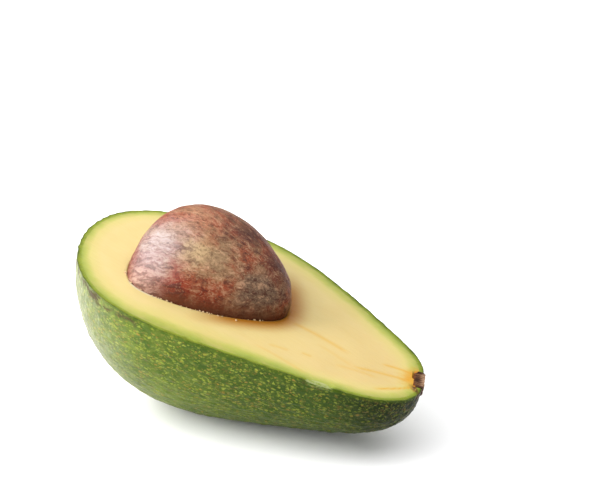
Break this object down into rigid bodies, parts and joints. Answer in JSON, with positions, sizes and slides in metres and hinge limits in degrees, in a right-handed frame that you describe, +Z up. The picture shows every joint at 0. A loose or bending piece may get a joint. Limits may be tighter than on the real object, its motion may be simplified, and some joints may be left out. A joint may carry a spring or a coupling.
{
  "type": "avocado",
  "caption": "Halved ripe avocado lying on its pebbly green skin, cut face up, with pale flesh, the brown seed in its hollow and the stub of the stem at the narrow end.",
  "frame": {"origin": "the middle of the small flat spot under the fruit, on the surface that it rests on", "axes": "+X along the fruit's length towards the narrow stem end, +Y across it, +Z up"},
  "size_m": [0.1095, 0.0682, 0.0557],
  "materials": {
    "skin": "pebbled green peel with pale flecks and a soft sheen",
    "flesh": "smooth, moist pale yellow flesh that turns green towards the peel",
    "seed": "satin, mottled red brown and grey tan",
    "stem": "matt, dry and fibrous"
  },
  "bodies": {
    "root": {"skin": "skin", "flesh": "flesh", "seed": "seed", "stem_stub": "stem"}
  },
  "joints": []
}
